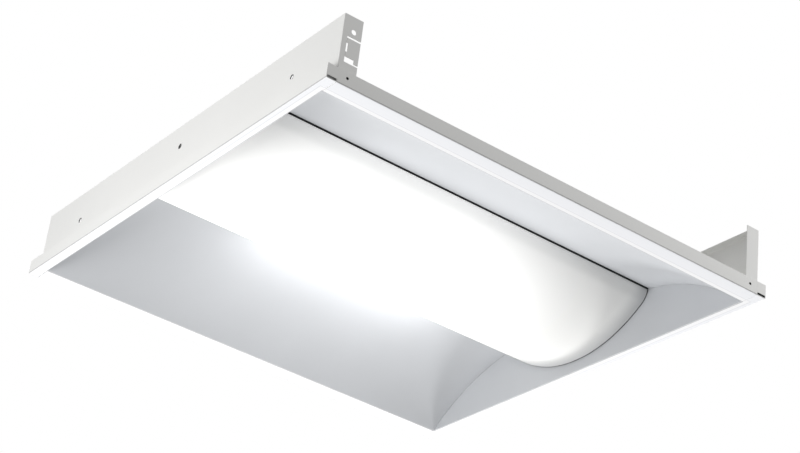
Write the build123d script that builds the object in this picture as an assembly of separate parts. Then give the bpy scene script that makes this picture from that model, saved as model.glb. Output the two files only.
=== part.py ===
from build123d import *
from math import asin, atan, cos, radians, sin
import os

# A recessed 2 ft x 2 ft troffer ceiling light with a bowed centre lens between two coved wings.
# Millimetres. X runs along the lens, Y across it and Z up into the ceiling. The origin is the
# middle of the opening, level with the underside of the trim that rests on the ceiling's T-bars.

# ---- Overall sizes ----
LENGTH = 603.0  # X, over the end trims
WIDTH = 603.0  # Y, over the side trims
HEIGHT = 82.0  # Z, from the trim's underside to the top of the end plates

# ---- Sheet steel and fits ----
SHEET = 0.8  # housing and reflector steel
BEND = 1.2  # radius on the drawn side of a bend
BUTT = 0.3  # where the edge of a sheet stops at another sheet
PLAY = 0.3  # beside a piece that moves
CUT_OVER = 1.0  # a hole or cut starts and ends this far outside the sheet

# ---- Trim ring ----
SIDE_TRIM = 23.5  # width of the underside along the two sides
END_TRIM = 12.5  # width of the underside along the two ends
UPSTAND = 17.0  # outer rim that stands up round the trim
CORNER_GAP = 3.6  # underside of the side upstand where it runs over the end trim
TOP_FLANGE = 8.5  # flange bent inwards along the top of an end plate

# ---- Coved wings ----
WING_WIDTH = 152.5  # across, from the trim to the lens
WING_START = 41.0  # slope of the cove at the trim, degrees
WING_LIP = 10.3  # upright lip beside the lens

# ---- Lens ----
LENS_SIDE_GAP = 2.5  # dark gap between the lens and each wing
LENS_LOW = 14.5  # lowest line of the bow above the trim's underside
LENS_SHOULDER = 25.0  # radius between the bow and the lips
LENS_WALL = 2.0  # acrylic
LENS_END_GAP = 0.5  # at each end plate
LIP_GAP = 0.6  # between the lens's lips or shoulders and the rails

# ---- Lens rails ----
RAIL_WALL = 1.0
RAIL_SLOT = 2.6  # between the legs that grip the lip
RAIL_DROP = 6.8  # depth of the rail below the housing top
RAIL_FOOT = 8.0  # flange of the rail that is riveted up to the housing
RAIL_SHORT = 3.0  # the rail stops this far from each end plate

# ---- Housing top ----
TOP_WALL = 7.7  # height of the housing's side walls
ACCESS_LENGTH = 300.0
ACCESS_WIDTH = 64.0
ACCESS_CORNER = 4.0
KNOCKOUT_D = 22.2  # trade size 1/2 conduit
KNOCKOUT_SLOT = 0.8  # width of the ring that is pierced round a knockout
KNOCKOUT_TIE = 3.0  # bridge that holds the disc in
KNOCKOUT_IN = 74.0  # from the end plate

# ---- Access cover ----
COVER_LAP = 8.0  # how far the cover lies over the edge of its opening
COVER_CORNER = 5.0  # rounded corners of the cover
COVER_KNOCKOUT_X = 55.0  # from the middle of the cover
COVER_TAB = 12.0  # width of a hinge tab
COVER_TAB_X = 110.0
COVER_TAB_DROP = 3.6  # from the housing top's upper face to the foot of a tab
COVER_TAB_FOOT = 5.0  # reach of the foot under the housing top
COVER_SWING = 1.0  # room that the slot leaves round a tab that swings up

# ---- Corner flanges and bend-out clips of the end plates ----
CLIP_FLANGE = 22.5  # depth of the flange that holds a clip
PLAIN_FLANGE = 18.5  # depth of the flange at the other end of the plate
HANGER_HOLE_D = 6.0
HANGER_IN = 13.0  # hanger hole from the plate
HANGER_DOWN = 17.4  # hanger hole from the top
CLIP_LOW = 27.0  # bottom of the opening round the clip
CLIP_HIGH = 57.7  # top of the opening round the clip
CLIP_ROOT = 6.0  # from the plate to the clip's bend
CLIP_SLOT = 2.4  # slot over the clip
CLIP_FOOT = 6.5  # window under the clip
CLIP_FINGER = 5.0  # width of the finger that reaches down beside the window
CLIP_FINGER_GAP = 2.0  # under the finger
CLIP_NECK = 2.0  # length of the two necks
CLIP_NECK_WIDTH = 5.6

# ---- Holes and fasteners ----
ROW_HOLE_D = 4.8  # holes in the end plates
ROW_HOLE_Y = 216.0
ROW_HOLE_Z = 44.5
ROW_HOLE_MID_Z = 54.0
CORNER_RIVET_IN = 12.5  # from the plate
CORNER_RIVET_Z = 9.6
HOLE_FIT = 0.2  # a hole is this much wider than the rivet or screw in it
RIVET_D = 3.2
RIVET_HEAD_D = 6.4
RIVET_HEAD = 1.1
RIVET_TAIL = 0.7
SIDE_RIVET_COUNT = 5  # along each side of the housing top
SIDE_RIVET_IN = 49.0  # outermost ones from the end plate
SIDE_RIVET_DOWN = 4.2  # below the housing top
FLANGE_RIVET_COUNT = 4  # along each end plate's top flange
FLANGE_RIVET_IN = 21.3  # outermost ones from the housing's side wall
RAIL_RIVET_COUNT = 5
RAIL_RIVET_IN = 39.0  # outermost ones from the end plate
SCREW_D = 3.5
SCREW_HEAD_D = 7.0
SCREW_HEAD = 2.0
COVER_SCREW_PLAY = 1.0  # the cover's screw swings out of its hole with the cover

# ---- Gear tray ----
TRAY_SHORT = 19.0  # the tray stops this far from each end plate
TRAY_HALF = 52.0
TRAY_DEPTH = 23.2  # below the housing top
TRAY_FLANGE = 12.0
TRAY_SCREW_COUNT = 4  # along each flange
TRAY_SCREW_IN = 30.0  # outermost ones from the end of the tray

# ---- Light boards ----
BOARD_SHORT = 4.0  # the boards stop this far from the end of the tray
BOARD_WIDTH = 24.0
BOARD_THICK = 1.6
BOARD_Y = 31.0
BOARD_GAP = 4.0  # between two boards in a row
BOARD_SCREW_IN = 8.0  # from the end of a board
BOARD_SCREW_OUT = 7.5  # from the middle line of a board
LED_COUNT = 16  # on each board
LED_SIZE = 3.0
LED_HIGH = 0.7
LINK_LENGTH = 12.0
LINK_WIDTH = 6.0
LINK_HIGH = 2.4
INLET_X = 158.0
INLET_SIZE = 7.0
INLET_HIGH = 3.4

# ---- Driver ----
DRIVER_LENGTH = 230.0
DRIVER_WIDTH = 30.0
DRIVER_HIGH = 18.0
DRIVER_Y = -12.0
DRIVER_CORNER = 1.5
DRIVER_WALL = 0.8
EAR_LENGTH = 18.0
EAR_SCREW = 4.5  # from the end of an ear
STANDOFF = 3.0  # circuit board above the driver's base
CIRCUIT = 1.6
CORE_SIZE = 20.0
CORE_HIGH = 10.0
CAN_D = 8.0
CAN_PITCH = 14.0
CAN_COUNT = 3  # on each side of the transformer
PLUG_LENGTH = 10.0
PLUG_WIDTH = 18.0
PLUG_HIGH = 9.0
PLUG_LIFT = 4.0  # plug above the tray's floor

# ---- Wiring ----
BUSHING_D = 13.0
BUSHING_BORE = 8.0
BUSHING_RIM = 1.5
BUSHING_FLANGE = 1.0
SPLICE_LENGTH = 18.0
SPLICE_WIDTH = 10.0
SPLICE_HIGH = 8.0
SPLICE_PITCH = 12.0
SPLICE_Y = 14.0  # middle splice
SPLICE_GAP = 26.0  # from the driver's plug to the splices
LEAD_D = 2.0
LEAD_PITCH = 5.0
LEAD_STUB = 6.0  # depth of a lead's entry in a plug
LUG = 0.8  # thickness of the ground lead's ring lug
GROUND_X = -130.0
GROUND_Y = 46.5

# ---- Places worked out from the sizes above ----
RIVET_HOLE_D = RIVET_D + HOLE_FIT
SCREW_HOLE_D = SCREW_D + HOLE_FIT
PLATE_X = LENGTH / 2 - END_TRIM  # face of an end plate that is seen in the opening
TRIM_Y = WIDTH / 2 - SIDE_TRIM  # where a wing leaves the trim
WING_EDGE = TRIM_Y - WING_WIDTH  # half the width of the slot that the lens hangs in
FLANGE_Y = WIDTH / 2 - SHEET  # outer face of a corner flange
ROOF_TOP = HEIGHT - SHEET  # upper face of the housing top
ROOF = ROOF_TOP - SHEET  # underside of the housing top
ROOF_WALL_Y = WING_EDGE + SHEET  # inner face of a housing side wall
LIP_TOP = ROOF - BEND / 2  # top of the wing's lip, under the bend of the housing
WING_RISE = LIP_TOP - WING_LIP  # the cove's upper edge
COVE_START = radians(WING_START)
COVE_END = 2 * atan(WING_RISE / WING_WIDTH) - COVE_START  # slope of the cove at the lens
COVE_RADIUS = WING_WIDTH / (sin(COVE_START) - sin(COVE_END))
LENS_HALF = WING_EDGE - LENS_SIDE_GAP  # half the width over the upright lips
LENS_EDGE = ROOF - RAIL_DROP - LIP_GAP  # where the shoulders turn into the lips
BOW_SIDE = LENS_HALF - LENS_SHOULDER
BOW_DROP = LENS_EDGE - LENS_LOW - LENS_SHOULDER
BOW_ARM = (BOW_SIDE**2 + BOW_DROP**2) / (2 * BOW_DROP)  # from the bow's centre to a shoulder's
LENS_BOW = BOW_ARM + LENS_SHOULDER  # radius of the bow, which runs smoothly into the shoulders
LENS_TURN = asin(BOW_SIDE / BOW_ARM)
TRAY_LENGTH = 2 * (PLATE_X - TRAY_SHORT)
BOARD_LENGTH = (TRAY_LENGTH - BOARD_GAP) / 2 - BOARD_SHORT
TRAY_FLOOR = ROOF - TRAY_DEPTH  # underside of the gear tray
GEAR_Z = TRAY_FLOOR + SHEET  # what lies on the tray's floor
BOARD_Z = TRAY_FLOOR - BOARD_THICK  # underside of a light board
COVER_EDGE = ACCESS_WIDTH / 2 + COVER_LAP
HINGE_Y = COVER_EDGE - SHEET / 2
CLIP_EDGE_X = PLATE_X + SHEET - CLIP_ROOT  # bend line side of the clip's opening
CLIP_FREE_X = PLATE_X + SHEET - CLIP_FLANGE  # free edge of the clip and its flange
COVER_SCREW_Y = -(COVER_EDGE - COVER_LAP / 2)
PLUG_END = DRIVER_LENGTH / 2 + PLUG_LENGTH
PLUG_Z = GEAR_Z + PLUG_LIFT + PLUG_HIGH / 2
SPLICE_END = -PLUG_END - SPLICE_GAP  # the face of the splices that the leads enter


def spread(half, count):
    """Places evenly from -half to half."""
    return [half * (2 * i / (count - 1) - 1) for i in range(count)]


SIDE_RIVETS = spread(PLATE_X - SIDE_RIVET_IN, SIDE_RIVET_COUNT)
RAIL_RIVETS = spread(PLATE_X - RAIL_RIVET_IN, RAIL_RIVET_COUNT)
FLANGE_RIVETS = spread(ROOF_WALL_Y - FLANGE_RIVET_IN, FLANGE_RIVET_COUNT)
TRAY_SCREWS = spread(TRAY_LENGTH / 2 - TRAY_SCREW_IN, TRAY_SCREW_COUNT)


def strip(path, thickness=SHEET, side=Side.RIGHT):
    """A sheet's cross-section: a path and the same path moved sideways by the thickness."""
    return make_face(offset(path, amount=thickness, side=side))


def along_x(section, length):
    """Stretch a section drawn in (y, z) both ways along X to the given length."""
    return extrude(Plane.YZ * section, amount=length / 2, both=True)


def along_y(section, width):
    """Stretch a section drawn in (x, z) both ways along Y to the given width."""
    return extrude(Plane.XZ * section, amount=width / 2, both=True)


def block(low, high):
    """A box between two corners."""
    size = [b - a for a, b in zip(low, high)]
    middle = [(a + b) / 2 for a, b in zip(low, high)]
    return Pos(*middle) * Box(*size)


def rod(point, direction, diameter, length):
    """A round rod that starts at a point and runs in a direction."""
    return extrude(Plane(point, z_dir=direction) * Circle(diameter / 2), amount=length)


def hole(point, direction, diameter, wall=SHEET):
    """What is drilled away: a round hole from a point on one face, right through the wall."""
    start = Vector(*point) - Vector(*direction) * CUT_OVER
    return rod(start, direction, diameter, wall + 2 * CUT_OVER)


def fastener(seat, direction, shank, shank_d=RIVET_D, head_d=RIVET_HEAD_D, head=RIVET_HEAD):
    """A rivet or screw: its head stands on the seat and its shank runs back through the sheets."""
    way = Vector(*direction)
    body = rod(Vector(*seat) - way * shank, direction, shank_d, shank + head / 2)
    return body + rod(seat, direction, head_d, head)


def turned(shape, quarter_turns=2):
    """The same piece turned about the middle of the light."""
    return Rot(0, 0, 90 * quarter_turns) * shape


def mirrored(shape):
    """The piece's mirror image on the other side of the lens."""
    return mirror(shape, about=Plane.XZ)


# ---- Housing ----


def side_pan():
    """Upstand, side trim, coved wing and upright lip, bent from one sheet, on the +Y side."""
    rim = FilletPolyline((WIDTH / 2, UPSTAND), (WIDTH / 2, 0), (TRIM_Y, 0), radius=BEND)
    centre_y = TRIM_Y - COVE_RADIUS * sin(COVE_START)
    centre_z = -COVE_RADIUS * cos(COVE_START)
    slopes = (COVE_START, (COVE_START + COVE_END) / 2, COVE_END)
    points = [(centre_y + COVE_RADIUS * sin(a), centre_z + COVE_RADIUS * cos(a)) for a in slopes]
    cove = ThreePointArc(*points)
    lip = Line(points[-1], (WING_EDGE, LIP_TOP))
    pan = along_x(strip(Wire([*rim.edges(), cove, lip])), LENGTH - 2 * SHEET)
    for sign in (-1, 1):
        near, far = sorted((sign * (PLATE_X - BUTT), sign * LENGTH))
        pan -= block((near, 0, -CUT_OVER), (far, WIDTH / 2 - SHEET, HEIGHT))
        pan -= block((near, 0, -CUT_OVER), (far, WIDTH, CORNER_GAP))
        corner = (sign * (PLATE_X + SHEET - CORNER_RIVET_IN), WIDTH / 2, CORNER_RIVET_Z)
        pan -= hole(corner, (0, -1, 0), RIVET_HOLE_D)
    for x in SIDE_RIVETS:
        pan -= hole((x, WING_EDGE, ROOF_TOP - SIDE_RIVET_DOWN), (0, 1, 0), RIVET_HOLE_D)
    return pan


def clip_opening():
    """The window that is pierced in a corner flange round the bend-out clip."""
    return block(
        (CLIP_FREE_X - CUT_OVER, FLANGE_Y - SHEET - CUT_OVER, CLIP_LOW),
        (CLIP_EDGE_X, FLANGE_Y + CUT_OVER, CLIP_HIGH),
    )


def end_plate():
    """End trim, upstand, plate and flanges on the +X side; the clip's flange is at the +Y end."""
    profile = FilletPolyline(
        (LENGTH / 2, UPSTAND),
        (LENGTH / 2, 0),
        (PLATE_X, 0),
        (PLATE_X, ROOF_TOP),
        (PLATE_X - TOP_FLANGE, ROOF_TOP),
        radius=BEND,
    )
    plate = along_y(strip(profile), WIDTH)
    outer = PLATE_X + SHEET
    for sign in (-1, 1):
        near, far = sorted((sign * (FLANGE_Y - 2 * BEND), sign * WIDTH))
        plate -= block((0, near, SHEET), (outer + BEND, far, HEIGHT + CUT_OVER))
    corners = FilletPolyline(
        (outer - PLAIN_FLANGE, -FLANGE_Y),
        (outer, -FLANGE_Y),
        (outer, FLANGE_Y),
        (outer - CLIP_FLANGE, FLANGE_Y),
        radius=BEND,
    )
    bottom = BEND + BUTT
    wrap = extrude(Pos(0, 0, bottom) * strip(corners, side=Side.LEFT), amount=HEIGHT - bottom)
    plate += wrap
    plate -= clip_opening()
    plate -= rod((outer - HANGER_IN, 0, HEIGHT - HANGER_DOWN), (0, 1, 0), HANGER_HOLE_D, WIDTH)
    for y, z in ((-ROW_HOLE_Y, ROW_HOLE_Z), (0, ROW_HOLE_MID_Z), (ROW_HOLE_Y, ROW_HOLE_Z)):
        plate -= hole((PLATE_X, y, z), (1, 0, 0), ROW_HOLE_D)
    plate -= rod((outer - CORNER_RIVET_IN, -WIDTH, CORNER_RIVET_Z), (0, 1, 0), RIVET_HOLE_D, 2 * WIDTH)
    for y in FLANGE_RIVETS:
        plate -= hole((PLATE_X - TOP_FLANGE / 2, y, ROOF_TOP), (0, 0, 1), RIVET_HOLE_D)
    return plate


def tbar_clip():
    """The tab that bends out of a corner flange on two necks and grips the ceiling's T-bar."""
    top = CLIP_HIGH - CLIP_SLOT
    low = CLIP_LOW + CLIP_FOOT
    front, back = FLANGE_Y - SHEET, FLANGE_Y
    neck_x = CLIP_EDGE_X - PLAY
    body = block((CLIP_FREE_X, front, low), (neck_x - CLIP_NECK, back, top))
    body += block((CLIP_FREE_X, front, CLIP_LOW + CLIP_FINGER_GAP), (CLIP_FREE_X + CLIP_FINGER, back, low))
    for z in (low, top - CLIP_NECK_WIDTH):
        bend_x = neck_x - SHEET / 2
        body += block((neck_x - CLIP_NECK, front, z), (bend_x, back, z + CLIP_NECK_WIDTH))
        body += rod((bend_x, (front + back) / 2, z), (0, 0, 1), SHEET, CLIP_NECK_WIDTH)
    return body


def knockout_ring(x, y, z):
    """Two half-ring slots round a knockout disc, with a bridge of steel on each side."""
    radius = KNOCKOUT_D / 2
    ring = Circle(radius) - Circle(radius - KNOCKOUT_SLOT) - Rectangle(3 * radius, KNOCKOUT_TIE)
    return extrude(Pos(x, y, z - CUT_OVER) * ring, amount=SHEET + 2 * CUT_OVER)


def housing_top():
    """The shallow channel that closes the light over the lens."""
    outer = ROOF_WALL_Y + SHEET
    section = FilletPolyline(
        (outer, ROOF_TOP - TOP_WALL),
        (outer, ROOF_TOP),
        (-outer, ROOF_TOP),
        (-outer, ROOF_TOP - TOP_WALL),
        radius=BEND,
    )
    top = along_x(strip(section, side=Side.LEFT), 2 * PLATE_X)
    opening = RectangleRounded(ACCESS_LENGTH, ACCESS_WIDTH, ACCESS_CORNER)
    top -= extrude(Pos(0, 0, ROOF - CUT_OVER) * opening, amount=SHEET + 2 * CUT_OVER)
    for sign in (-1, 1):
        tab_x = sign * COVER_TAB_X
        top -= block(
            (tab_x - COVER_TAB / 2 - PLAY, HINGE_Y - COVER_TAB_DROP - COVER_SWING, ROOF - CUT_OVER),
            (tab_x + COVER_TAB / 2 + PLAY, COVER_EDGE + COVER_SWING, ROOF_TOP + CUT_OVER),
        )
        top -= knockout_ring(sign * (PLATE_X - KNOCKOUT_IN), 0, ROOF)
        for y in FLANGE_RIVETS:
            top -= hole((sign * (PLATE_X - TOP_FLANGE / 2), y, ROOF), (0, 0, 1), RIVET_HOLE_D)
        for x in SIDE_RIVETS:
            start = (x, sign * ROOF_WALL_Y, ROOF_TOP - SIDE_RIVET_DOWN)
            top -= hole(start, (0, sign, 0), RIVET_HOLE_D)
        for x in RAIL_RIVETS:
            top -= hole((x, sign * rail_foot_y(), ROOF), (0, 0, 1), RIVET_HOLE_D)
    for x, y in tray_screw_places():
        top -= hole((x, y, ROOF), (0, 0, 1), SCREW_HOLE_D)
    return top - hole((0, COVER_SCREW_Y, ROOF), (0, 0, 1), SCREW_D + COVER_SCREW_PLAY)


# ---- Lens and its rails ----


def lens():
    """A bowed acrylic trough with rounded shoulders and two upright lips."""
    turn = LENS_TURN
    bow_y, bow_z = LENS_BOW * sin(turn), LENS_LOW + LENS_BOW * (1 - cos(turn))
    half_turn = (radians(90) + turn) / 2
    mid_y = BOW_SIDE + LENS_SHOULDER * sin(half_turn)
    mid_z = LENS_EDGE - LENS_SHOULDER * cos(half_turn)
    lip_top = ROOF - RAIL_WALL - LIP_GAP
    edges = [
        Line((-LENS_HALF, lip_top), (-LENS_HALF, LENS_EDGE)),
        ThreePointArc((-LENS_HALF, LENS_EDGE), (-mid_y, mid_z), (-bow_y, bow_z)),
        ThreePointArc((-bow_y, bow_z), (0, LENS_LOW), (bow_y, bow_z)),
        ThreePointArc((bow_y, bow_z), (mid_y, mid_z), (LENS_HALF, LENS_EDGE)),
        Line((LENS_HALF, LENS_EDGE), (LENS_HALF, lip_top)),
    ]
    section = strip(Wire(edges), LENS_WALL, Side.LEFT)
    return along_x(section, 2 * (PLATE_X - LENS_END_GAP))


def rail_inner():
    """Inner face of the rail's slot, measured from the middle of the light."""
    return LENS_HALF - LENS_WALL / 2 - RAIL_SLOT / 2


def rail_foot_y():
    """Middle of the rail's riveted foot."""
    return rail_inner() - RAIL_WALL - RAIL_FOOT / 2


def lens_rail():
    """An extruded channel under the housing top that grips one lip of the lens, on the +Y side."""
    inner = rail_inner()
    outer = inner + RAIL_SLOT
    low = ROOF - RAIL_DROP
    section = Polyline(
        (inner - RAIL_WALL - RAIL_FOOT, ROOF),
        (inner - RAIL_WALL - RAIL_FOOT, ROOF - RAIL_WALL),
        (inner - RAIL_WALL, ROOF - RAIL_WALL),
        (inner - RAIL_WALL, low),
        (inner, low),
        (inner, ROOF - RAIL_WALL),
        (outer, ROOF - RAIL_WALL),
        (outer, low),
        (outer + RAIL_WALL, low),
        (outer + RAIL_WALL, ROOF),
        close=True,
    )
    rail = along_x(make_face(section), 2 * (PLATE_X - RAIL_SHORT))
    for x in RAIL_RIVETS:
        rail -= hole((x, rail_foot_y(), ROOF - RAIL_WALL), (0, 0, 1), RIVET_HOLE_D, RAIL_WALL)
    return rail


# ---- Gear tray, light boards and driver ----


def gear_tray():
    """A hat-shaped tray under the housing top: boards below its floor, driver above it."""
    section = FilletPolyline(
        (-TRAY_HALF - TRAY_FLANGE, ROOF),
        (-TRAY_HALF, ROOF),
        (-TRAY_HALF, GEAR_Z),
        (TRAY_HALF, GEAR_Z),
        (TRAY_HALF, ROOF),
        (TRAY_HALF + TRAY_FLANGE, ROOF),
        radius=BEND,
    )
    tray = along_x(strip(section), TRAY_LENGTH)
    for x, y in tray_screw_places():
        tray -= hole((x, y, ROOF - SHEET), (0, 0, 1), SCREW_HOLE_D)
    for x, y in board_screw_places() + driver_screw_places() + [(GROUND_X, GROUND_Y)]:
        tray -= hole((x, y, TRAY_FLOOR), (0, 0, 1), SCREW_HOLE_D)
    return tray - hole((INLET_X, 0, TRAY_FLOOR), (0, 0, 1), BUSHING_D + HOLE_FIT)


def board_places():
    """Middle of each light board, in two rows of two."""
    step = (BOARD_LENGTH + BOARD_GAP) / 2
    return [(sx * step, sy * BOARD_Y) for sy in (-1, 1) for sx in (-1, 1)]


def board(x, y):
    """One light board on the tray's underside."""
    plate = block(
        (x - BOARD_LENGTH / 2, y - BOARD_WIDTH / 2, BOARD_Z),
        (x + BOARD_LENGTH / 2, y + BOARD_WIDTH / 2, TRAY_FLOOR),
    )
    for screw_x, screw_y in board_screw_places():
        plate -= hole((screw_x, screw_y, BOARD_Z), (0, 0, 1), SCREW_HOLE_D, BOARD_THICK)
    return plate


def board_screw_places():
    """Four screws near the outer edge of each row of boards."""
    inner = BOARD_GAP / 2 + BOARD_SCREW_IN
    outer = BOARD_GAP / 2 + BOARD_LENGTH - BOARD_SCREW_IN
    rows = (-BOARD_Y - BOARD_SCREW_OUT, BOARD_Y + BOARD_SCREW_OUT)
    return [(x, y) for y in rows for x in (-outer, -inner, inner, outer)]


def tray_screw_places():
    """Screws that hold the tray's two flanges up to the housing top."""
    side = TRAY_HALF + TRAY_FLANGE / 2
    return [(x, y) for y in (-side, side) for x in TRAY_SCREWS]


def driver_screw_places():
    """One screw through each ear of the driver."""
    reach = DRIVER_LENGTH / 2 + EAR_LENGTH - EAR_SCREW
    return [(-reach, DRIVER_Y), (reach, DRIVER_Y)]


def led_row(x, y):
    """The light-emitting diodes under one board."""
    pitch = BOARD_LENGTH / LED_COUNT
    first = x - BOARD_LENGTH / 2 + pitch / 2
    middle = BOARD_Z - LED_HIGH / 2
    return [Pos(first + i * pitch, y, middle) * Box(LED_SIZE, LED_SIZE, LED_HIGH) for i in range(LED_COUNT)]


def board_link(y):
    """A bridge connector between the two boards of a row."""
    return Pos(0, y, BOARD_Z - LINK_HIGH / 2) * Box(LINK_LENGTH, LINK_WIDTH, LINK_HIGH)


def board_inlet(side):
    """The connector on a board where a row's lead comes in."""
    y = side * (BOARD_Y - BOARD_WIDTH / 2 + INLET_SIZE / 2)
    return Pos(INLET_X, y, BOARD_Z - INLET_HIGH / 2) * Box(INLET_SIZE, INLET_SIZE, INLET_HIGH)


def driver_base():
    """The driver's base plate with a screw ear at each end."""
    length = DRIVER_LENGTH + 2 * EAR_LENGTH
    plan = RectangleRounded(length, DRIVER_WIDTH, 2 * DRIVER_CORNER)
    base = extrude(Pos(0, DRIVER_Y, GEAR_Z) * plan, amount=DRIVER_WALL)
    for x, y in driver_screw_places():
        base -= hole((x, y, GEAR_Z), (0, 0, 1), SCREW_HOLE_D, DRIVER_WALL)
    return base


def driver_cover():
    """The driver's drawn cover, open at the bottom, with a window for each plug."""
    bottom = GEAR_Z + DRIVER_WALL
    height = DRIVER_HIGH - DRIVER_WALL
    outside = Rectangle(DRIVER_LENGTH, DRIVER_WIDTH)
    inside = Rectangle(DRIVER_LENGTH - 2 * DRIVER_WALL, DRIVER_WIDTH - 2 * DRIVER_WALL)
    shell = extrude(Pos(0, DRIVER_Y, bottom) * outside, amount=height)
    shell = fillet(shell.edges().filter_by(Axis.Z) + shell.edges().group_by(Axis.Z)[-1], DRIVER_CORNER)
    shell -= extrude(Pos(0, DRIVER_Y, bottom) * inside, amount=height - DRIVER_WALL)
    window = Box(2 * DRIVER_LENGTH, PLUG_WIDTH + HOLE_FIT, PLUG_HIGH + HOLE_FIT)
    return shell - Pos(0, DRIVER_Y, PLUG_Z) * window


def driver_plug(sign):
    """A terminal block in the driver's end with a row of lead entries."""
    depth = PLUG_LENGTH + DRIVER_WALL
    middle = sign * (PLUG_END - depth / 2)
    plug = Pos(middle, DRIVER_Y, PLUG_Z) * Box(depth, PLUG_WIDTH, PLUG_HIGH)
    for y in (-LEAD_PITCH, 0, LEAD_PITCH):
        mouth = (sign * (PLUG_END - LEAD_STUB), DRIVER_Y + y, PLUG_Z)
        plug -= rod(mouth, (sign, 0, 0), LEAD_D + HOLE_FIT, LEAD_STUB + CUT_OVER)
    return plug


def driver_circuit():
    """The driver's circuit board on a bed of potting compound."""
    length = DRIVER_LENGTH - 2 * (DRIVER_WALL + PLUG_LENGTH)
    width = DRIVER_WIDTH - 2 * (DRIVER_WALL + PLAY)
    bottom = GEAR_Z + DRIVER_WALL
    middle = bottom + (STANDOFF + CIRCUIT) / 2
    return Pos(0, DRIVER_Y, middle) * Box(length, width, STANDOFF + CIRCUIT)


def driver_parts():
    """A transformer and a row of capacitors on the circuit board."""
    floor = GEAR_Z + DRIVER_WALL + STANDOFF + CIRCUIT
    pieces = [Pos(0, DRIVER_Y, floor + CORE_HIGH / 2) * Box(CORE_SIZE, CORE_SIZE, CORE_HIGH)]
    for i in range(CAN_COUNT):
        for sign in (-1, 1):
            x = sign * (CORE_SIZE / 2 + (i + 1) * CAN_PITCH)
            pieces.append(rod((x, DRIVER_Y, floor), (0, 0, 1), CAN_D, CORE_HIGH))
    return pieces


def wire_bushing():
    """A snap-in bushing that lines the hole where the leads pass down to the boards."""
    rim_d = BUSHING_D + 2 * BUSHING_RIM
    foot = (INLET_X, 0, TRAY_FLOOR - BUSHING_FLANGE)
    height = SHEET + 2 * BUSHING_FLANGE
    ring = rod(foot, (0, 0, 1), BUSHING_D, height)
    ring += rod(foot, (0, 0, 1), rim_d, BUSHING_FLANGE)
    ring += rod((INLET_X, 0, GEAR_Z), (0, 0, 1), rim_d, BUSHING_FLANGE)
    return ring - hole(foot, (0, 0, 1), BUSHING_BORE, height)


def lead(start, points, start_way, end_way):
    """A wire: a straight stub from start to the first point, then a smooth run through the others."""
    run = Spline(points, tangents=(start_way, end_way))
    route = Wire([Line(start, points[0]), run])
    section = Plane(start, z_dir=start_way) * Circle(LEAD_D / 2)
    return sweep(section, path=route)


def supply_lead(from_y, to_y):
    """A wire from an entry of the driver's input plug to a splice."""
    splice = (SPLICE_END, to_y, GEAR_Z + SPLICE_HIGH / 2)
    start = (-PLUG_END + LEAD_STUB / 2, from_y, PLUG_Z)
    return lead(start, [(-PLUG_END, from_y, PLUG_Z), splice], (-1, 0, 0), (-1, 0, 0))


def ground_lead():
    """A wire with a ring lug, from the tray's ground screw to the outermost splice."""
    ring = rod((GROUND_X, GROUND_Y, GEAR_Z), (0, 0, 1), SCREW_HEAD_D, LUG)
    ring -= hole((GROUND_X, GROUND_Y, GEAR_Z), (0, 0, 1), SCREW_HOLE_D, LUG)
    start = (GROUND_X - SCREW_HEAD_D / 2 - LUG, GROUND_Y, GEAR_Z + LEAD_D / 2)
    crimp = (start[0] - LEAD_STUB / 2, start[1], start[2])
    neck = block(
        (crimp[0], GROUND_Y - LEAD_D / 2, GEAR_Z),
        (GROUND_X - SCREW_HEAD_D / 2 + LUG, GROUND_Y + LEAD_D / 2, GEAR_Z + LUG),
    )
    splice = (SPLICE_END, SPLICE_Y + SPLICE_PITCH, GEAR_Z + SPLICE_HIGH / 2)
    return ring + neck + lead(start, [crimp, splice], (-1, 0, 0), (-1, 0, 0))


def led_lead(side):
    """A wire from the driver's output plug, down through the bushing, to a row's inlet."""
    from_y = DRIVER_Y + side * LEAD_PITCH
    above = (INLET_X, side * LEAD_D, GEAR_Z + LEAD_STUB / 2)
    below = (INLET_X, side * LEAD_D, TRAY_FLOOR)
    inlet = (INLET_X, side * (BOARD_Y - BOARD_WIDTH / 2), BOARD_Z - INLET_HIGH / 2)
    start = (PLUG_END - LEAD_STUB / 2, from_y, PLUG_Z)
    return lead(start, [(PLUG_END, from_y, PLUG_Z), above, below, inlet], (1, 0, 0), (0, side, 0))


def splices():
    """Three push-in splices in a row on the tray's floor."""
    x = SPLICE_END - SPLICE_LENGTH / 2
    z = GEAR_Z + SPLICE_HIGH / 2
    rows = [SPLICE_Y + i * SPLICE_PITCH for i in (-1, 0, 1)]
    return [Pos(x, y, z) * Box(SPLICE_LENGTH, SPLICE_WIDTH, SPLICE_HIGH) for y in rows]


# ---- Access cover ----


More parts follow.
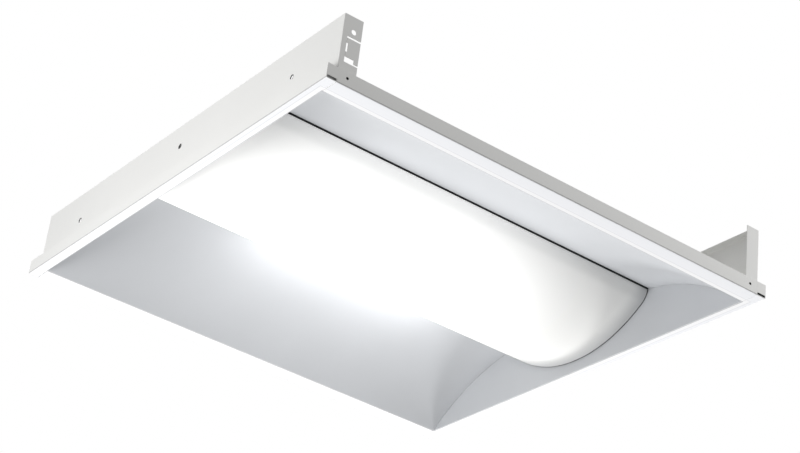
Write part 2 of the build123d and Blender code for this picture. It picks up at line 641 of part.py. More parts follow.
def access_cover():
    """A flat cover over the opening in the housing top, with two hooked tabs as its hinge."""
    back = HINGE_Y - PLAY
    plan = RectangleRounded(ACCESS_LENGTH + 2 * COVER_LAP, back + COVER_EDGE, COVER_CORNER)
    cover = extrude(Pos(0, (back - COVER_EDGE) / 2, ROOF_TOP) * plan, amount=SHEET)
    foot = ROOF_TOP - COVER_TAB_DROP
    for sign in (-1, 1):
        tab = Polyline(
            (HINGE_Y - 2 * PLAY, ROOF_TOP + SHEET),
            (COVER_EDGE, ROOF_TOP + SHEET),
            (COVER_EDGE, foot + SHEET),
            (COVER_EDGE + COVER_TAB_FOOT, foot + SHEET),
            (COVER_EDGE + COVER_TAB_FOOT, foot),
            (COVER_EDGE - SHEET, foot),
            (COVER_EDGE - SHEET, ROOF_TOP),
            (HINGE_Y - 2 * PLAY, ROOF_TOP),
            close=True,
        )
        cover += Pos(sign * COVER_TAB_X, 0, 0) * along_x(make_face(tab), COVER_TAB)
        cover -= knockout_ring(sign * COVER_KNOCKOUT_X, 0, ROOF_TOP)
    return cover - hole((0, COVER_SCREW_Y, ROOF_TOP), (0, 0, 1), SCREW_HOLE_D)


# ---- Rivets and screws ----


def screw(seat, direction, shank):
    """A screw with a low head."""
    return fastener(seat, direction, shank, SCREW_D, SCREW_HEAD_D, SCREW_HEAD)


def corner_rivets():
    """One rivet at each corner, flush outside, with its head inside the flange."""
    x = PLATE_X + SHEET - CORNER_RIVET_IN
    y = FLANGE_Y - SHEET
    corners = [(sx, sy) for sx in (-1, 1) for sy in (-1, 1)]
    return [fastener((sx * x, sy * y, CORNER_RIVET_Z), (0, -sy, 0), 2 * SHEET) for sx, sy in corners]


def channel_rivets():
    """Rivets through the housing's side walls and the wings' lips."""
    z = ROOF_TOP - SIDE_RIVET_DOWN
    y = ROOF_WALL_Y + SHEET
    rows = [(x, sy) for sy in (-1, 1) for x in SIDE_RIVETS]
    return [fastener((x, sy * y, z), (0, sy, 0), 2 * SHEET + RIVET_TAIL) for x, sy in rows]


def flange_rivets():
    """Rivets from under the housing top through the end plates' top flanges."""
    x = PLATE_X - TOP_FLANGE / 2
    rows = [(sx, y) for sx in (-1, 1) for y in FLANGE_RIVETS]
    return [fastener((sx * x, y, ROOF), (0, 0, -1), 2 * SHEET + RIVET_TAIL) for sx, y in rows]


def rail_rivets():
    """Rivets through the feet of the lens rails."""
    shank = RAIL_WALL + SHEET + RIVET_TAIL
    rows = [(x, sy * rail_foot_y()) for sy in (-1, 1) for x in RAIL_RIVETS]
    return [fastener((x, y, ROOF - RAIL_WALL), (0, 0, -1), shank) for x, y in rows]


def tray_screws():
    """Screws from below through the tray's flanges into the housing top."""
    shank = 2 * SHEET + RIVET_TAIL
    return [screw((x, y, ROOF - SHEET), (0, 0, -1), shank) for x, y in tray_screw_places()]


def board_screws():
    """Screws from below through the boards into the tray."""
    shank = BOARD_THICK + SHEET + RIVET_TAIL
    return [screw((x, y, BOARD_Z), (0, 0, -1), shank) for x, y in board_screw_places()]


def driver_screws():
    """Screws from above through the driver's ears into the tray."""
    shank = DRIVER_WALL + SHEET + RIVET_TAIL
    return [screw((x, y, GEAR_Z + DRIVER_WALL), (0, 0, 1), shank) for x, y in driver_screw_places()]


def pieces():
    """Every node of the light by name, as one solid or a list of equal solids."""
    nodes = {
        "side_pan_left": mirrored(side_pan()),
        "side_pan_right": side_pan(),
        "end_plate_near": turned(end_plate()),
        "end_plate_far": end_plate(),
        "tbar_clip_near": turned(tbar_clip()),
        "tbar_clip_far": tbar_clip(),
        "housing_top": housing_top(),
        "access_cover": access_cover(),
        "cover_screw": screw((0, COVER_SCREW_Y, ROOF_TOP + SHEET), (0, 0, 1), 2 * SHEET + RIVET_TAIL),
        "lens": lens(),
        "lens_rail_left": mirrored(lens_rail()),
        "lens_rail_right": lens_rail(),
        "gear_tray": gear_tray(),
        "board_links": [board_link(-BOARD_Y), board_link(BOARD_Y)],
        "board_inlets": [board_inlet(-1), board_inlet(1)],
        "board_screws": board_screws(),
        "driver_base": driver_base(),
        "driver_cover": driver_cover(),
        "driver_input_plug": driver_plug(-1),
        "driver_output_plug": driver_plug(1),
        "driver_circuit": driver_circuit(),
        "driver_parts": driver_parts(),
        "driver_screws": driver_screws(),
        "wire_bushing": wire_bushing(),
        "line_lead": supply_lead(DRIVER_Y, SPLICE_Y - SPLICE_PITCH),
        "neutral_lead": supply_lead(DRIVER_Y + LEAD_PITCH, SPLICE_Y),
        "ground_lead": ground_lead(),
        "ground_screw": screw((GROUND_X, GROUND_Y, GEAR_Z + LUG), (0, 0, 1), LUG + SHEET + RIVET_TAIL),
        "led_leads": [led_lead(-1), led_lead(1)],
        "wire_splices": splices(),
        "corner_rivets": corner_rivets(),
        "channel_rivets": channel_rivets(),
        "flange_rivets": flange_rivets(),
        "rail_rivets": rail_rivets(),
        "tray_screws": tray_screws(),
    }
    for number, (x, y) in enumerate(board_places(), 1):
        nodes[f"led_board_{number}"] = board(x, y)
        nodes[f"leds_{number}"] = led_row(x, y)
    return nodes


os.makedirs("parts", exist_ok=True)
for name, shape in pieces().items():
    solid = Compound(children=shape) if isinstance(shape, list) else shape
    export_step(solid, f"parts/{name}.step")
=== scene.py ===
import logging
from dataclasses import dataclass, field
from enum import Enum
from functools import cache
from math import asin, cos, pi, radians, sin
from typing import Any

import bpy
import numpy as np
from mathutils import Matrix, Vector


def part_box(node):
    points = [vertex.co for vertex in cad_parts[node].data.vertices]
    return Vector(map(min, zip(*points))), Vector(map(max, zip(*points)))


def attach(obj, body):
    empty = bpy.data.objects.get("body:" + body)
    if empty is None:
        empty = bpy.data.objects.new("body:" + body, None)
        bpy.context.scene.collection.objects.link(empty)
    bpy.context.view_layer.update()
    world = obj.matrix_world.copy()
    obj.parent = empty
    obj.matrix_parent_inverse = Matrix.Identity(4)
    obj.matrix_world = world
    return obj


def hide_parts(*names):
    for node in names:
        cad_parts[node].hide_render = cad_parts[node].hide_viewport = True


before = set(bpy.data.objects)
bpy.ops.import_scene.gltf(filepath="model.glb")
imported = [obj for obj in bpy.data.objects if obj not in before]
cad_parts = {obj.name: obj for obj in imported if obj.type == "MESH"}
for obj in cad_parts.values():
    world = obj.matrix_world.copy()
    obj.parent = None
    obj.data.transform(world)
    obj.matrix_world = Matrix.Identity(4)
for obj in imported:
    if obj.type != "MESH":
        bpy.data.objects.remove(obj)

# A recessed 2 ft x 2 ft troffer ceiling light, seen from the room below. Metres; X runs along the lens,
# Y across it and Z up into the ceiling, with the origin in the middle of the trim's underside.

MM = 0.001
PHOTO_WIDTH_PX = 800
SENSOR_WIDTH_MM = 36.0
NOISE_SPAN = (0.35, 0.65)  # where most of a noise lies
LEAST_COSINE = 0.5  # of half a turn in a path, so that a sharp turn doesn't throw its point far out
log = logging.getLogger("troffer")

Sockets = dict[str, Any]
Tree = bpy.types.NodeTree
Socket = bpy.types.NodeSocket
Colour = tuple[float, float, float, float]
Point = tuple[float, float]
Span = tuple[float, float]
Place = tuple[float, float, float]
Array = np.ndarray


# ---- Small tools ----


def linear(hex_colour: str) -> Colour:
    """Turn an sRGB hex colour into linear light.

    Args:
        hex_colour: six hex digits after a hash sign.

    Returns:
        Linear red, green, blue and an alpha of 1.
    """
    values = [int(hex_colour[i:i + 2], 16) / 255 for i in (1, 3, 5)]
    channels = [v / 12.92 if v <= 0.04045 else ((v + 0.055) / 1.055) ** 2.4 for v in values]
    return (channels[0], channels[1], channels[2], 1.0)


def add_node(
    tree: Tree, kind: str, sockets: dict[str | int, Any] | None = None, **settings: Any
) -> bpy.types.Node:
    """Add a shader node with its settings, and set or link its inputs.

    Args:
        tree: the node tree that gets the node.
        kind: the node's type name without the ShaderNode prefix.
        sockets: input name or number to a constant, or to an output socket that is linked to it.
        settings: properties of the node itself.

    Returns:
        The new node.
    """
    made = tree.nodes.new("ShaderNode" + kind)
    for name, value in settings.items():
        setattr(made, name, value)
    for name, value in (sockets or {}).items():
        if isinstance(value, Socket):
            tree.links.new(value, made.inputs[name])
        else:
            made.inputs[name].default_value = value
    return made


def per_metre(size_mm: float) -> float:
    """Texture scale for a pattern whose cells measure the given millimetres."""
    return 1.0 / (size_mm * MM)


def arc(centre: Point, radius: float, start: float, end: float, steps: int) -> Array:
    """Points on a circle: centre + radius * (cos t, sin t) for t evenly from start to end.

    Args:
        centre: the circle's middle.
        radius: its radius.
        start: first angle in radians.
        end: last angle in radians.
        steps: how many points.

    Returns:
        An array of steps x 2 points.
    """
    turn = np.linspace(start, end, steps)
    return np.array(centre) + radius * np.column_stack([np.cos(turn), np.sin(turn)])


def thicken(path: Array, thickness: float) -> Array:
    """Move a path sideways, to the left of its run, by a sheet's thickness.

    Each point moves along the mean of its two neighbouring runs' normals, lengthened by one over the
    cosine of half the turn, so that both faces stay parallel.

    Args:
        path: n x 2 points.
        thickness: how far; negative moves to the right.

    Returns:
        The moved path, n x 2.
    """
    runs = np.diff(path, axis=0)
    runs /= np.linalg.norm(runs, axis=1)[:, None]
    normals = np.column_stack([-runs[:, 1], runs[:, 0]])
    before = np.vstack([normals[:1], normals])
    after = np.vstack([normals, normals[-1:]])
    mean = before + after
    mean /= np.linalg.norm(mean, axis=1)[:, None]
    lengthen = 1.0 / np.clip(np.sum(mean * after, axis=1), LEAST_COSINE, 1.0)
    return path + mean * (thickness * lengthen)[:, None]


def sheet_along_x(path: Array, thickness: float, stations: Array) -> tuple[Array, Array]:
    """Carry a sheet's section along X as one closed shell.

    The section is a path out along one face and back along the other. A point of the shell is
    (x of its station, y and z of its section point), and each end is closed by quads between the faces.

    Args:
        path: n x 2 points (y, z) of one face in metres.
        thickness: the wall, to the left of the path.
        stations: x of each copy of the section.

    Returns:
        Vertices (k x 3) and quads (m x 4).
    """
    other = thicken(path, thickness)
    loop = np.vstack([path, other[::-1]])
    count, copies = len(loop), len(stations)
    x = np.repeat(stations, count)
    vertices = np.column_stack([x, np.tile(loop, (copies, 1))])
    i, j = np.meshgrid(np.arange(copies - 1), np.arange(count), indexing="ij")
    a = i * count + j
    b = i * count + (j + 1) % count
    sides = np.stack([a, b, b + count, a + count], axis=-1).reshape(-1, 4)
    k = np.arange(len(path) - 1)
    first = np.column_stack([k, count - 1 - k, count - 2 - k, k + 1])
    last = first[:, ::-1] + (copies - 1) * count
    return vertices, np.vstack([sides, first, last])


def merged(shells: list[tuple[Array, Array]]) -> tuple[Array, Array]:
    """Put several shells into one set of arrays.

    Args:
        shells: vertices and faces of each.

    Returns:
        All vertices, and all faces with their numbers moved on.
    """
    starts = np.cumsum([0] + [len(v) for v, _ in shells[:-1]])
    vertices = np.vstack([v for v, _ in shells])
    faces = np.vstack([f + start for (_, f), start in zip(shells, starts)])
    return vertices, faces


def make_piece(
    name: str, vertices: Array, faces: Array, body: str, crease_deg: float = 30.0
) -> bpy.types.Object:
    """Put arrays into a mesh object that rides on a body.

    Args:
        name: the piece's name.
        vertices: k x 3 places in metres, in the frame of the light.
        faces: m x 4 vertex numbers.
        body: the body that the piece moves with.
        crease_deg: edges sharper than this stay sharp.

    Returns:
        The linked object.
    """
    mesh = bpy.data.meshes.new(name)
    mesh.from_pydata(vertices.tolist(), [], faces.tolist())
    mesh.validate()
    mesh.shade_smooth()
    mesh.set_sharp_from_angle(angle=radians(crease_deg))
    piece = bpy.data.objects.new(name, mesh)
    bpy.context.scene.collection.objects.link(piece)
    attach(piece, body)
    return piece


# ---- Finishes ----


class Tint(Enum):
    """Colours of the light's materials, as sRGB hex values."""

    ENAMEL = "#F1F1EF"
    ENAMEL_SHADE = "#EFEFED"
    # the white inside the opening, greyed as painted shade of the recess
    REFLECTOR_WITH_PAINTED_SHADE = "#C5C7CA"
    REFLECTOR_WITH_PAINTED_SHADE_CLOUDED = "#C3C5C8"
    TRIM = "#F4F5F8"
    # painted highlight and painted shade lines on the trim
    TRIM_PAINTED_HIGHLIGHT = "#FAFAFB"
    TRIM_PAINTED_SHADE_LINE = "#C9CACC"
    TRIM_FAINT_PAINTED_SHADE_LINE = "#E4E5E8"
    # painted shade along the outer bend
    BEND_PAINTED_SHADE = "#C4C4C3"
    # dark painted shade in the corner channels and round the row holes, whose bores show bare cut edge
    BARE_EDGE_AND_PAINTED_SHADE = "#2C2D2E"
    ACRYLIC = "#F8F8F6"
    # painted shade at the lens's ends
    ACRYLIC_END_PAINTED_SHADE = "#CBCCCC"
    # painted shade of the gap along the lens's lips and end edges
    LENS_GAP_PAINTED_SHADE = "#262728"
    GLOW = "#FFFFFF"
    RAIL = "#E9E9E6"
    ZINC = "#C9CBCA"
    SPANGLE_LIGHT = "#C3C5C5"
    SPANGLE_DARK = "#B0B2B2"
    ALUMINIUM = "#D2D2D0"
    DRIVER = "#B9BBBD"
    BLACK = "#191A1B"
    CHARCOAL = "#3A3C3F"
    IVORY = "#E4E0D2"
    WHITE_WIRE = "#EDEDE8"
    GREEN_WIRE = "#2E8A45"
    BLUE_WIRE = "#2F5FA8"
    SOLDER_MASK = "#F2F2EE"
    LAMINATE = "#2B5B38"
    PHOSPHOR = "#F0C94A"
    AMBER = "#D98B2B"

    @property
    def light(self) -> Colour:
        """The tint in linear light."""
        return linear(self.value)

    def darker(self, share: float) -> Colour:
        """The tint in linear light, multiplied by a share below one."""
        red, green, blue, _ = self.light
        return (red * share, green * share, blue * share, 1.0)


@dataclass(frozen=True)
class Step:
    """A step in a value: first where it is at or under start, last where it is at or over end."""

    value: Socket
    start: float
    end: float
    first: float = 0.0
    last: float = 1.0
    curve: str = "SMOOTHSTEP"


def masked(tree: Tree, *parts: Step | Socket) -> Socket:
    """Multiply steps and other factors into one factor.

    Args:
        tree: the node tree.
        parts: the steps, and the sockets of the other factors.

    Returns:
        The socket of the product.
    """
    result = None
    for part in parts:
        factor = part
        if isinstance(part, Step):
            span = {"From Min": part.start, "From Max": part.end, "To Min": part.first, "To Max": part.last}
            made = add_node(tree, "MapRange", {"Value": part.value, **span}, interpolation_type=part.curve)
            factor = made.outputs["Result"]
        if result is None:
            result = factor
        else:
            result = add_node(tree, "Math", {0: result, 1: factor}, operation="MULTIPLY").outputs[0]
    return result


def layered(tree: Tree, base: Socket | Colour, layers: list[tuple[Socket, Socket | Colour]]) -> Socket:
    """Lay colours over a base, one after the other.

    Args:
        tree: the node tree.
        base: the lowest colour.
        layers: factor and colour of each layer, which covers what is below it where the factor is 1.

    Returns:
        The colour socket.
    """
    colour = base
    for factor, above in layers:
        mix = add_node(tree, "Mix", {0: factor, 6: colour, 7: above}, data_type="RGBA")
        colour = mix.outputs[2]
    return colour


def two_tone(tree: Tree, noise: Socket, low: Colour, high: Colour) -> Socket:
    """Turn a noise into patches of two colours, which blend over its middle values.

    Args:
        tree: the node tree.
        noise: what decides between them.
        low: linear colour where the noise is low.
        high: linear colour where the noise is high.

    Returns:
        The colour socket.
    """
    start, end = NOISE_SPAN
    return layered(tree, low, [(masked(tree, Step(noise, start, end, curve="LINEAR")), high)])


def axis_distance(tree: Tree, y: Socket, z: Socket, axis: Point) -> Socket:
    """Measure how far a point lies from an axis along X.

    Args:
        tree: the node tree.
        y: the point's y.
        z: the point's z.
        axis: the axis's y and z.

    Returns:
        The socket of the distance.
    """
    across = add_node(tree, "Math", {0: y, 1: axis[0]}, operation="SUBTRACT").outputs[0]
    up = add_node(tree, "Math", {0: z, 1: axis[1]}, operation="SUBTRACT").outputs[0]
    arm = add_node(tree, "CombineXYZ", {"X": across, "Y": up}).outputs[0]
    return add_node(tree, "VectorMath", {0: arm}, operation="LENGTH").outputs["Value"]


@dataclass(frozen=True)
class Finish:
    """What every finish shares: its name and how its shader is filled in."""

    name: str

    @cache
    def material(self) -> bpy.types.Material:
        """Make the material once, and return the same one after that."""
        made = bpy.data.materials.new(self.name)
        made.use_nodes = True
        tree = made.node_tree
        tree.nodes.clear()
        place = add_node(tree, "TexCoord").outputs["Object"]
        shader = add_node(tree, "BsdfPrincipled", self.sockets(tree, place))
        add_node(tree, "OutputMaterial", {"Surface": shader.outputs["BSDF"]})
        return made

    def sockets(self, tree: Tree, place: Socket) -> Sockets:
        """Inputs of the Principled shader; each finish gives its own."""
        raise NotImplementedError

    def dress(self, piece: bpy.types.Object) -> None:
        """Give the piece this finish in every slot."""
        mesh = piece.data
        mesh.materials.clear()
        mesh.materials.append(self.material())


@dataclass(frozen=True)
class PowderCoat(Finish):
    """Baked white polyester powder coat on sheet steel.

    The powder melts and flows but keeps a faint orange peel, which breaks up the edge of every
    reflection. Where it is thinner the white is a shade greyer.
    """

    colour: Tint = Tint.ENAMEL
    shade: Tint = Tint.ENAMEL_SHADE
    peel_mm: float = 2.5  # real peel is about 1 mm; drawn coarser so that it shows
    peel_depth_mm: float = 0.02
    peel_strength: float = 0.35
    cloud_mm: float = 90.0
    roughness: float = 0.34
    glossier: float = 0.04
    duller: float = 0.05

    def cloud(self, tree: Tree, place: Socket) -> Socket:
        """How thick the powder lies, from 0 to 1, in broad patches."""
        noise = add_node(tree, "TexNoise", {"Vector": place, "Scale": per_metre(self.cloud_mm), "Detail": 3.0})
        return noise.outputs["Fac"]

    def sockets(self, tree: Tree, place: Socket) -> Sockets:
        """Cloudy white, uneven gloss and orange peel."""
        cloud = self.cloud(tree, place)
        gloss = add_node(
            tree, "MapRange",
            {"Value": cloud, "To Min": self.roughness - self.glossier, "To Max": self.roughness + self.duller},
        )
        peel = add_node(tree, "TexNoise", {"Vector": place, "Scale": per_metre(self.peel_mm), "Detail": 2.0})
        bump = add_node(
            tree, "Bump",
            {
                "Height": peel.outputs["Fac"],
                "Strength": self.peel_strength,
                "Distance": self.peel_depth_mm * MM,
            },
        )
        return {
            "Base Color": two_tone(tree, cloud, self.shade.light, self.colour.light),
            "Roughness": gloss.outputs["Result"],
            "IOR": 1.5,
            "Normal": bump.outputs["Normal"],
        }


@dataclass(frozen=True)
class Where:
    """Sockets that say where on the light a shaded point lies, in metres."""

    x: Socket  # distance from the middle along X
    y: Socket  # distance from the middle along Y
    z: Socket  # height over the trim's underside
    far: Socket  # the larger of x and y
    near: Socket  # the smaller of x and y
    from_cove: Socket  # distance from the cove's axis


@dataclass(frozen=True)
class ReflectorCoat(PowderCoat):
    """The powder coat of the side pans and end plates, whose white changes with its place.

    Inside the opening the coat is flatter, and its white is greyed by a painted shade of the recess.
    On the trim a whiter band along the inner edge is a painted highlight, with a painted shade line on
    each side of it, and a grey line round the outer bend is painted shade. The folded channel at the
    corners is painted dark as shade, and each row hole has a dark rim: the bare cut edge of its bore, widened
    by painted shade.
    """

    inner_x: float = 0.2894
    inner_y: float = 0.2776
    outer: float = 0.3011  # between the two faces of the outer upstands
    cove_axis: Point = (0.08443, -0.22267)  # its y and z
    cove_radius: float = 0.29545  # half way through the side pan's sheet
    lip_y: float = 0.1259  # half way through the lip's sheet
    trim_top: float = 0.0004  # half way through the trim's sheet
    roof: float = 0.0732  # underside of the housing's top
    bend_top: float = 0.0015
    row_holes: tuple[Point, ...] = ((0.0, 0.054), (0.216, 0.0445))  # y and z of their axes
    hole_radius: float = 0.0024
    rim_mm: float = 1.0
    plate_x: float = 0.28885  # between the ends of the side pans and the end plates
    channel: float = 0.282  # where the corner channels start
    channel_top: float = 0.016
    # width of the trim's painted highlight, and of each painted shade line
    painted_highlight_mm: float = 6.0
    line_mm: float = 0.9
    step_mm: float = 0.3  # how wide each change of colour is
    flatter: float = 0.2

    def sockets(self, tree: Tree, place: Socket) -> Sockets:
        """One coat for each zone, laid over the plain one."""
        plain = super().sockets(tree, place)
        here = self.where(tree, place)
        opening = self.opening(tree, here)
        # the greyer white inside the opening is painted shade of the recess
        inside = two_tone(tree, self.cloud(tree, place), Tint.REFLECTOR_WITH_PAINTED_SHADE_CLOUDED.light, Tint.REFLECTOR_WITH_PAINTED_SHADE.light)
        step = self.step_mm * MM
        trim = masked(tree, Step(here.z, self.trim_top - step / 2, self.trim_top, 1.0, 0.0))
        colour = layered(tree, plain["Base Color"], [
            (opening, inside),
            # painted highlight and painted shade lines on the trim
            (trim, self.trim_colour(tree, here, inside)),
            # painted shade along the outer bend
            (self.outer_bend(tree, here), Tint.BEND_PAINTED_SHADE.light),
            # painted shade in the corner channels and round the row holes
            (self.corner_channel(tree, here), Tint.BARE_EDGE_AND_PAINTED_SHADE.light),
            *((self.bare_edge_and_shaded_rim(tree, here, axis), Tint.BARE_EDGE_AND_PAINTED_SHADE.light) for axis in self.row_holes),
        ])
        gloss = add_node(
            tree, "MapRange",
            {"Value": opening, "To Min": plain["Roughness"], "To Max": self.roughness + self.flatter},
        )
        return {**plain, "Base Color": colour, "Roughness": gloss.outputs["Result"]}

    def where(self, tree: Tree, place: Socket) -> Where:
        """Measure where a point lies."""
        split = add_node(tree, "SeparateXYZ", {0: place})
        x = add_node(tree, "Math", {0: split.outputs["X"]}, operation="ABSOLUTE").outputs[0]
        y = add_node(tree, "Math", {0: split.outputs["Y"]}, operation="ABSOLUTE").outputs[0]
        z = split.outputs["Z"]
        far = add_node(tree, "Math", {0: x, 1: y}, operation="MAXIMUM").outputs[0]
        near = add_node(tree, "Math", {0: x, 1: y}, operation="MINIMUM").outputs[0]
        return Where(x, y, z, far, near, axis_distance(tree, y, z, self.cove_axis))

    def opening(self, tree: Tree, here: Where) -> Socket:
        """1 on what the lens lights, 0 on the back: below the cove's arc or between the lips, where the coat
        gets its painted shade.
        """
        step, arc_line = self.step_mm * MM, self.cove_radius
        below = masked(tree, Step(here.from_cove, arc_line - step / 2, arc_line + step / 2, 1.0, 0.0))
        between = masked(
            tree,
            Step(here.y, self.lip_y - step / 2, self.lip_y + step / 2, 1.0, 0.0),
            Step(here.z, self.roof - step, self.roof, 1.0, 0.0),
        )
        lit = add_node(tree, "Math", {0: below, 1: between}, operation="MAXIMUM").outputs[0]
        return masked(
            tree,
            Step(here.x, self.inner_x - step, self.inner_x, 1.0, 0.0),
            Step(here.y, self.inner_y - step, self.inner_y, 1.0, 0.0),
            lit,
        )

    def outer_bend(self, tree: Tree, here: Where) -> Socket:
        """1 on the lowest line of the outer upstands, which is painted as a grey line of shade."""
        step = self.step_mm * MM
        return masked(
            tree,
            Step(here.far, self.outer - step, self.outer),
            Step(here.z, self.bend_top - step, self.bend_top, 1.0, 0.0),
        )

    def corner_channel(self, tree: Tree, here: Where) -> Socket:
        """1 inside the folded channel at a corner, which is painted dark as shade."""
        step = self.step_mm * MM
        return masked(
            tree,
            Step(here.near, self.channel, self.channel + step),
            Step(here.x, self.inner_x, self.inner_x + step),
            Step(here.far, self.outer - step, self.outer, 1.0, 0.0),
            Step(here.z, self.trim_top - step / 2, self.trim_top),
            Step(here.z, self.channel_top - step, self.channel_top, 1.0, 0.0),
        )

    def bare_edge_and_shaded_rim(self, tree: Tree, here: Where, axis: Point) -> Socket:
        """1 in the bore of a row hole and on its rim, above the cove. The bore's wall is the bare cut edge, and
        the dark ring round it is painted shade.

        Args:
            tree: the node tree.
            here: where the point lies.
            axis: the hole's y and z.

        Returns:
            The socket of the factor.
        """
        step = self.step_mm * MM
        edge = self.hole_radius + self.rim_mm * MM
        away = axis_distance(tree, here.y, here.z, axis)
        steps = [
            Step(here.x, self.plate_x - step / 3, self.plate_x),
            Step(away, edge - step, edge, 1.0, 0.0),
        ]
        if axis[0] > self.lip_y:
            steps.append(Step(here.from_cove, self.cove_radius, self.cove_radius + step))
        return masked(tree, *steps)

    def trim_colour(self, tree: Tree, here: Where, inside: Socket) -> Socket:
        """White of the trim by its distance from the opening: painted shade line, painted highlight, fainter
        painted shade line and plain coat.

        Args:
            tree: the node tree.
            here: where the point lies.
            inside: colour of the coat inside the opening, greyed by painted shade.

        Returns:
            The colour socket.
        """
        out_x = add_node(tree, "Math", {0: here.x, 1: self.inner_x}, operation="SUBTRACT").outputs[0]
        out_y = add_node(tree, "Math", {0: here.y, 1: self.inner_y}, operation="SUBTRACT").outputs[0]
        out = add_node(tree, "Math", {0: out_x, 1: out_y}, operation="MAXIMUM").outputs[0]
        step, line, painted_highlight = self.step_mm * MM, self.line_mm * MM, self.painted_highlight_mm * MM
        # a painted shade line, a painted highlight, a fainter painted shade line, then the plain trim
        bands = (
            (0.0, Tint.TRIM_PAINTED_SHADE_LINE),
            (line, Tint.TRIM_PAINTED_HIGHLIGHT),
            (painted_highlight, Tint.TRIM_FAINT_PAINTED_SHADE_LINE),
            (painted_highlight + line, Tint.TRIM),
        )
        return layered(tree, inside, [
            (masked(tree, Step(out, start, start + step)), tint.light) for start, tint in bands
        ])


@dataclass(frozen=True)
class FrostedAcrylic(Finish):
    """Extruded acrylic with a satin frost, lit from above by the boards.

    The frost scatters the light, so the lens shows an even white that weakens towards its lips and
    its near end, and more slowly from its middle to its far end. Near its ends the white is greyed by
    painted shade, and a dark strip along the lips and the end edges is painted shade of the gap beside the
    lens.
    """

    half_length: float = 0.2885
    glow: float = 0.88
    glow_at_near_end: float = 0.2  # a share of glow
    glow_full_mm: Span = (-130.0, -10.0)  # x of the stretch with the whole glow
    glow_end_mm: float = 255.0  # x where the glow has died away
    glow_at_lips: float = 0.41  # a share of glow
    glow_low_mm: float = 14.0  # z up to which the glow is whole
    glow_high_mm: float = 66.0  # z where it is down to its share at the lips
    end_painted_shade_mm: float = 26.0  # how far the painted shade of the ends reaches
    gap_shade_high_mm: float = 68.6  # z where the painted shade strip along the lips starts
    gap_shade_step_mm: float = 0.3
    gap_shade_end_mm: float = 1.0
    frost_mm: float = 2.0  # real frost is far finer; drawn as coarse as it needs to show
    frost_depth_mm: float = 0.01
    frost_strength: float = 0.25
    roughness: Span = (0.42, 0.5)

    def sockets(self, tree: Tree, place: Socket) -> Sockets:
        """White body greyed at its ends by painted shade, with a dark strip of painted shade at the lips and
        end edges, and a glow that weakens at the ends and towards the lips.
        """
        split = add_node(tree, "SeparateXYZ", {0: place})
        x, z, end = split.outputs["X"], split.outputs["Z"], self.half_length
        reach = add_node(tree, "Math", {0: x}, operation="ABSOLUTE").outputs[0]
        high, line, edge = self.gap_shade_high_mm * MM, self.gap_shade_step_mm * MM, self.gap_shade_end_mm * MM
        # a dark strip of painted shade along the lips and the end edges
        strip = masked(tree, Step(z, high, high + line))
        rim = masked(tree, Step(reach, end - edge, end - edge + line))
        clear = add_node(tree, "Math", {0: strip, 1: rim}, operation="MAXIMUM").outputs[0]
        outside_gap_shade = add_node(tree, "Math", {0: 1.0, 1: clear}, operation="SUBTRACT").outputs[0]
        first, last = self.glow_full_mm
        glow = masked(
            tree,
            Step(x, -end, first * MM, self.glow_at_near_end, 1.0),
            Step(x, last * MM, self.glow_end_mm * MM, 1.0, 0.0),
            Step(z, self.glow_low_mm * MM, self.glow_high_mm * MM, self.glow, self.glow_at_lips * self.glow),
            outside_gap_shade,
        )
        # the grey ends of the lens are painted shade
        body = masked(tree, Step(reach, end - self.end_painted_shade_mm * MM, end, 1.0, 0.0))
        frost = add_node(tree, "TexNoise", {"Vector": place, "Scale": per_metre(self.frost_mm), "Detail": 3.0})
        bump = add_node(
            tree, "Bump",
            {
                "Height": frost.outputs["Fac"],
                "Strength": self.frost_strength,
                "Distance": self.frost_depth_mm * MM,
            },
        )
        glossy, dull = self.roughness
        gloss = add_node(tree, "MapRange", {"Value": frost.outputs["Fac"], "To Min": glossy, "To Max": dull})
        return {
            "Base Color": layered(tree, Tint.ACRYLIC_END_PAINTED_SHADE.light, [
                (body, Tint.ACRYLIC.light),
                (clear, Tint.LENS_GAP_PAINTED_SHADE.light),
            ]),
            "Roughness": gloss.outputs["Result"],
            "IOR": 1.49,
            "Normal": bump.outputs["Normal"],
            "Emission Color": Tint.GLOW.light,
            "Emission Strength": glow,
        }


@dataclass(frozen=True)
class MouldedPlastic(Finish):
    """Moulded or extruded plastic: one colour right through, with a fine spark-eroded grain."""

    colour: Tint = Tint.RAIL
    roughness: float = 0.45
    glossier: float = 0.05
    duller: float = 0.06
    grain_mm: float = 0.8  # real grain is about 0.1 mm; drawn coarser so that it shows
    grain_depth_mm: float = 0.015
    grain_strength: float = 0.5
    cloud_mm: float = 12.0
    shade: float = 0.93

    def sockets(self, tree: Tree, place: Socket) -> Sockets:
        """Grain in the bump and a slight unevenness in colour and gloss."""
        grain = add_node(tree, "TexNoise", {"Vector": place, "Scale": per_metre(self.grain_mm), "Detail": 2.0})
        noise = add_node(tree, "TexNoise", {"Vector": place, "Scale": per_metre(self.cloud_mm), "Detail": 2.0})
        cloud = noise.outputs["Fac"]
        gloss = add_node(
            tree, "MapRange",
            {"Value": cloud, "To Min": self.roughness - self.glossier, "To Max": self.roughness + self.duller},
        )
        bump = add_node(
            tree, "Bump",
            {
                "Height": grain.outputs["Fac"],
                "Strength": self.grain_strength,
                "Distance": self.grain_depth_mm * MM,
            },
        )
        return {
            "Base Color": two_tone(tree, cloud, self.colour.darker(self.shade), self.colour.light),
            "Roughness": gloss.outputs["Result"],
            "IOR": 1.5,
            "Normal": bump.outputs["Normal"],
        }


